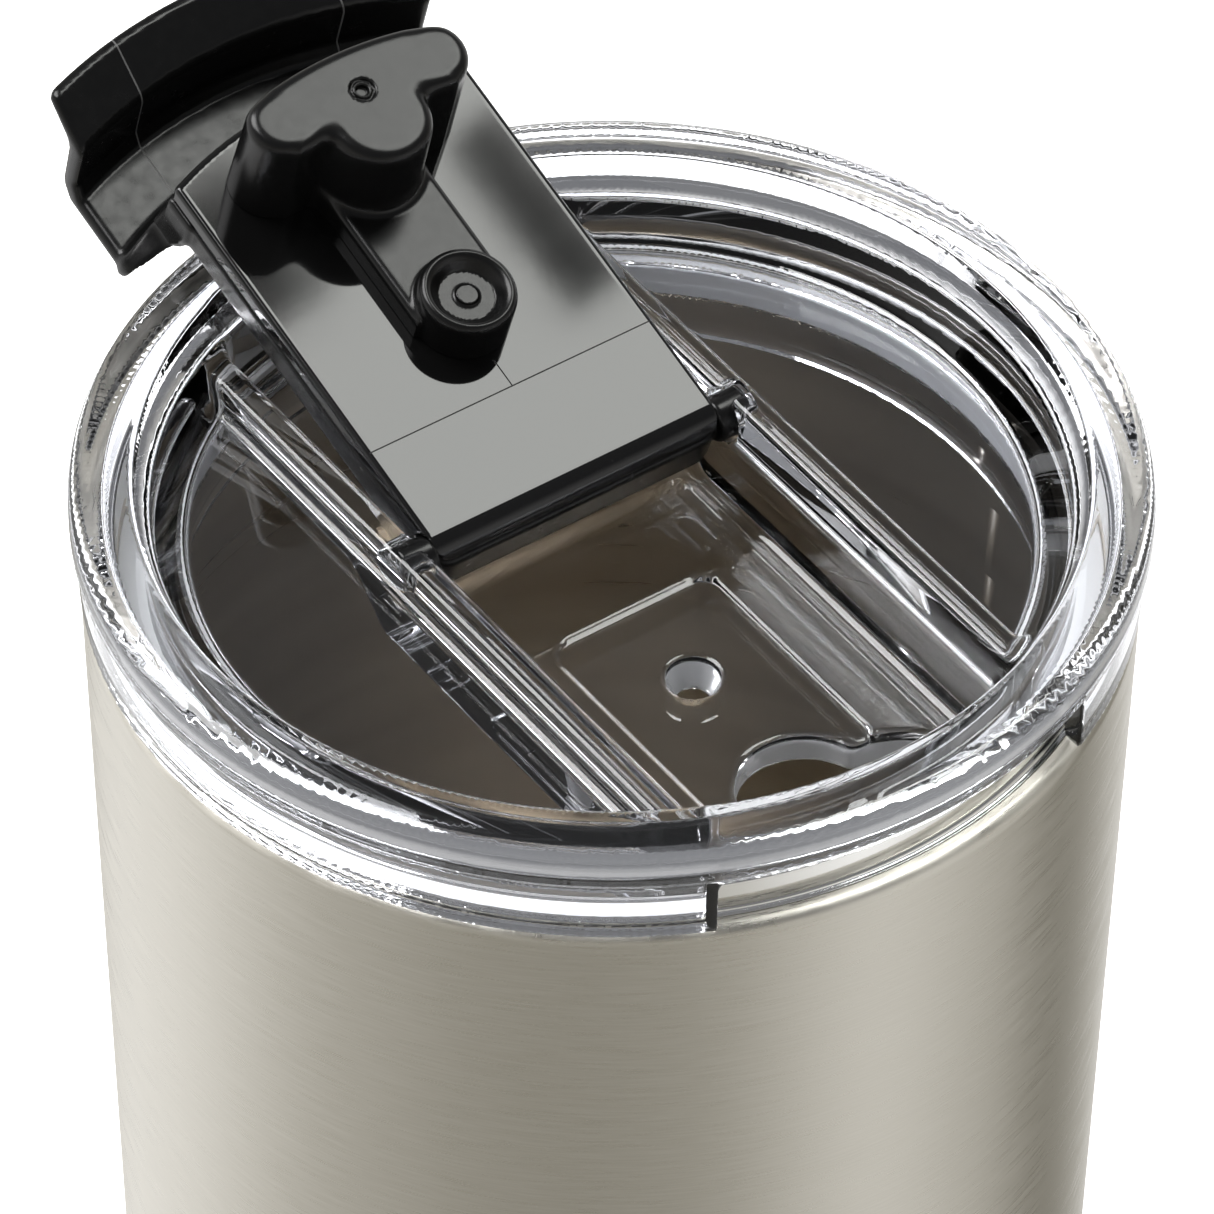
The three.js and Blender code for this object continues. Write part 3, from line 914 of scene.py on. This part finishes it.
def build_flags():
    """Small black cards in front of the overhead light, mirrored as dark patches in the panel."""
    black = new_material("flag_black", Base_Color=(0, 0, 0, 1), Specular_IOR_Level=0)[0]
    for right, up, half_x, half_y in FLAGS:
        flag = flat_card("flag", half_x, half_y, black)
        flag.visible_camera = flag.visible_shadow = flag.visible_diffuse = flag.visible_transmission = False
        face_object(flag, *OVERHEAD, FLAG_DISTANCE, right, up)


# Brightness of the studio's surroundings, by the angle from the camera's side, in degrees.
SURROUNDINGS = [
    (-180, 0.8), (-156, 0.35), (-125, 1.1), (-100, 1.1),
    (-68, 0.72), (-38, 0.5), (0, 0.41), (28, 0.56),
    (50, 0.88), (62, 0.9), (75, 0.74), (88, 0.6),
    (105, 0.24), (122, 0.56), (145, 1.1), (180, 0.8),
]
OVERHEAD = (101, 63)                         # azimuth and elevation of the light the panel mirrors
FLAG_DISTANCE = 1.44
FLAGS = [(0.066, 0.024, 0.024, 0.008), (0.1, 0.083, 0.02, 0.014)]    # right, up and half sizes, in metres
BRIGHTEST = max(level for _, level in SURROUNDINGS)
CEILING = (0.2, 0.203, 0.21)


def surround_colour(nodes, links, direction):
    """The surroundings' colour in a direction, warmer where they are dark."""
    split = nodes.new("ShaderNodeSeparateXYZ")
    flip = nodes.new("ShaderNodeMath")
    angle = nodes.new("ShaderNodeMath")
    flip.operation = "MULTIPLY"
    angle.operation = "ARCTAN2"
    flip.inputs[1].default_value = -1
    links.new(direction, split.inputs[0])
    links.new(split.outputs["Y"], flip.inputs[0])
    links.new(split.outputs["X"], angle.inputs[0])
    links.new(flip.outputs[0], angle.inputs[1])
    ramp = nodes.new("ShaderNodeValToRGB")
    ramp.color_ramp.interpolation = "CARDINAL"
    stops = ramp.color_ramp.elements
    while len(stops) < len(SURROUNDINGS):
        stops.new(0.5)
    for stop, (degrees, level) in zip(stops, SURROUNDINGS):
        share = level / BRIGHTEST
        stop.position = (degrees + 180) / 360
        stop.color = (share, share ** 1.03, share ** 1.12, 1)
    links.new(ranged(nodes, links, angle.outputs[0], 0, 1, -math.pi, math.pi), ramp.inputs["Fac"])
    return ramp.outputs["Color"]


def build_reflector():
    """A graded card on the floor that only mirror-like surfaces see: it gives the steel its soft bands."""
    inner, outer = 0.05, 2.5
    lift = 0.0005
    count = 96
    turns = [2 * math.pi * i / count for i in range(count)]
    points = [(radius * math.cos(t), radius * math.sin(t), lift) for radius in (inner, outer) for t in turns]
    faces = [(i, (i + 1) % count, count + (i + 1) % count, count + i) for i in range(count)]
    mesh = bpy.data.meshes.new("reflector")
    mesh.from_pydata(points, [], [face[::-1] for face in faces])
    card = bpy.data.objects.new("reflector", mesh)
    card.rotation_euler.z = AZIMUTH
    card.visible_camera = card.visible_shadow = card.visible_diffuse = card.visible_transmission = False
    bpy.context.scene.collection.objects.link(card)
    material = bpy.data.materials.new("graded_card")
    material.use_nodes = True
    nodes, links = material.node_tree.nodes, material.node_tree.links
    nodes.clear()
    place, glow = nodes.new("ShaderNodeTexCoord"), nodes.new("ShaderNodeEmission")
    output = nodes.new("ShaderNodeOutputMaterial")
    glow.inputs["Strength"].default_value = BRIGHTEST
    links.new(surround_colour(nodes, links, place.outputs["Object"]), glow.inputs["Color"])
    links.new(glow.outputs[0], output.inputs[0])
    mesh.materials.append(material)


def build_world():
    """Bright walls round the object, and a dim ceiling."""
    world = bpy.data.worlds.new("studio")
    bpy.context.scene.world = world
    world.use_nodes = True
    nodes, links = world.node_tree.nodes, world.node_tree.links
    background = nodes["Background"]
    background.inputs["Strength"].default_value = BRIGHTEST
    place, turn = nodes.new("ShaderNodeTexCoord"), nodes.new("ShaderNodeMapping")
    turn.inputs["Rotation"].default_value[2] = -AZIMUTH
    split, blend = nodes.new("ShaderNodeSeparateXYZ"), nodes.new("ShaderNodeMix")
    blend.data_type = "RGBA"
    links.new(place.outputs["Generated"], turn.inputs["Vector"])
    links.new(place.outputs["Generated"], split.inputs[0])
    links.new(ranged(nodes, links, split.outputs["Z"], 0, 1, 0.3, 0.6), blend.inputs["Factor"])
    links.new(surround_colour(nodes, links, turn.outputs["Vector"]), blend.inputs["A"])
    blend.inputs["B"].default_value = (*(level / BRIGHTEST for level in CEILING), 1)
    links.new(blend.outputs["Result"], background.inputs["Color"])


def build_studio():
    build_world()
    soft_light("overhead", *OVERHEAD, 1.5, 0.45, 5.8, (0.985, 1, 0.96))
    soft_light("rear_left", -150, 58, 1.4, 0.8, 20)
    build_flags()
    build_reflector()
    bpy.context.scene.view_settings.view_transform = "Standard"


# ---- camera ----
AZIMUTH = math.radians(-35.9)
ELEVATION = math.radians(43.8)
ROLL = math.radians(0.63)
DISTANCE = 0.7765
LENS = 288.6
AIM_ACROSS = -0.0004
AIM_UP = -0.0099


def build_camera():
    flat = math.cos(ELEVATION)
    back = Vector((math.sin(AZIMUTH) * flat, -math.cos(AZIMUTH) * flat, math.sin(ELEVATION)))
    level = Vector((0, 0, 1)).cross(back).normalized()
    upright = back.cross(level)
    right = level * math.cos(ROLL) + upright * math.sin(ROLL)
    up = upright * math.cos(ROLL) - level * math.sin(ROLL)
    data = bpy.data.cameras.new("camera")
    data.lens = LENS
    data.sensor_width = 36
    data.clip_start = 0.01
    data.clip_end = 50
    camera = bpy.data.objects.new("camera", data)
    rim_centre = Vector((0, 0, RIM_Z * MM))
    place = rim_centre + back * DISTANCE + right * AIM_ACROSS + up * AIM_UP
    camera.matrix_world = Matrix((right, up, back)).transposed().to_4x4()
    camera.location = place
    bpy.context.scene.collection.objects.link(camera)
    bpy.context.scene.camera = camera


build_camera()
build_studio()
build_floor()
build_lid(clear_plastic())
build_gasket(silicone())
build_shell(brushed_steel())
build_liner(cup_steel())
mould_lines = [((x, 50, RIM_Z + 12), (0.09, 8, 20)) for x in (-10, 10)]
witness_lines = [(on_panel(0, 9.5), (COVER_X - 0.5, 0.07, 0.3)), (on_panel(0.15, 10.9), (0.07, 1.3, 0.8))]
build_flip(
    black_plastic("cover_black", (0.18, 0.28), 900, (0.06, 0.00002), 0.32, mould_lines, 0.12, 0.4),
    black_plastic("panel_black", (0.035, 0.055), 60, (0.03, 0.0001), 0.5, witness_lines),
    black_plastic("stopper_black", (0.23, 0.26), 1500, (0.02, 0.00001), 0.34),
)
base_look = satin_base()
for node in ("shell_base", "base_cap", "getter", "vacuum_seal"):
    frame["nodes"][node].data.materials.clear()
    frame["nodes"][node].data.materials.append(base_look)
